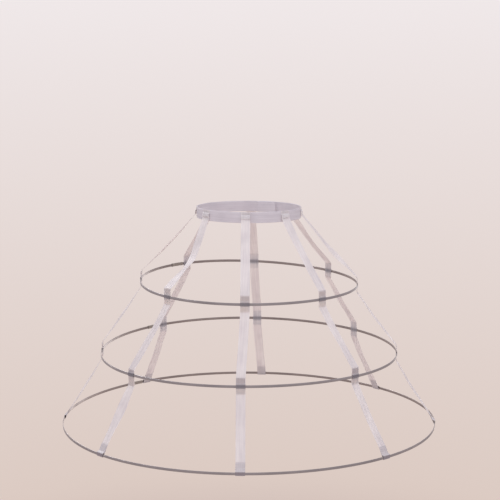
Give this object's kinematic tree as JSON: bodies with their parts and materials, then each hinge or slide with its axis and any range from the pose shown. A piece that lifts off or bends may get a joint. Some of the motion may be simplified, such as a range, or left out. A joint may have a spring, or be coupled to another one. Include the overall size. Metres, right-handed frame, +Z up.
{
  "type": "crinoline cage",
  "caption": "Cage crinoline: flat steel hoops of growing size hung from a lapped cloth waistband by ribbon tapes, with a sewn casing at each crossing, to spread a skirt.",
  "frame": {"origin": "centre of the waistband's oval, at half the band's height", "axes": "+Z up out of the waist opening, -Y towards the wearer's back, +X towards the wearer's right"},
  "size_m": [0.8746, 0.8748, 0.5108],
  "materials": {
    "waistband_cloth": "white plain-woven band",
    "tape_ribbon": "white satin ribbon",
    "casing_ribbon": "greyish white ribbon",
    "hoop_steel": "satin spring steel strip",
    "joiner_sleeve": "pale moulded sleeve",
    "clasp_metal": "nickel-plated pressed steel"
  },
  "bodies": {
    "root": {"casing_middle_back_centre": "casing_ribbon", "casing_middle_back_left": "casing_ribbon", "casing_middle_back_right": "casing_ribbon", "casing_middle_front_centre": "casing_ribbon", "casing_middle_front_left": "casing_ribbon", "casing_middle_front_right": "casing_ribbon", "casing_middle_left": "casing_ribbon", "casing_middle_right": "casing_ribbon", "casing_upper_back_centre": "casing_ribbon", "casing_upper_back_left": "casing_ribbon", "casing_upper_back_right": "casing_ribbon", "casing_upper_front_centre": "casing_ribbon", "casing_upper_front_left": "casing_ribbon", "casing_upper_front_right": "casing_ribbon", "casing_upper_left": "casing_ribbon", "casing_upper_right": "casing_ribbon", "hoop_lower": "hoop_steel", "hoop_middle": "hoop_steel", "hoop_upper": "hoop_steel", "joiner_lower": "joiner_sleeve", "joiner_middle": "joiner_sleeve", "joiner_upper": "joiner_sleeve", "tape_back_centre": "tape_ribbon", "tape_back_left": "tape_ribbon", "tape_back_right": "tape_ribbon", "tape_front_centre": "tape_ribbon", "tape_front_left": "tape_ribbon", "tape_front_right": "tape_ribbon", "tape_left": "tape_ribbon", "tape_right": "tape_ribbon", "waist_bar": "clasp_metal", "waist_hook": "clasp_metal", "waistband": "waistband_cloth"}
  },
  "joints": []
}
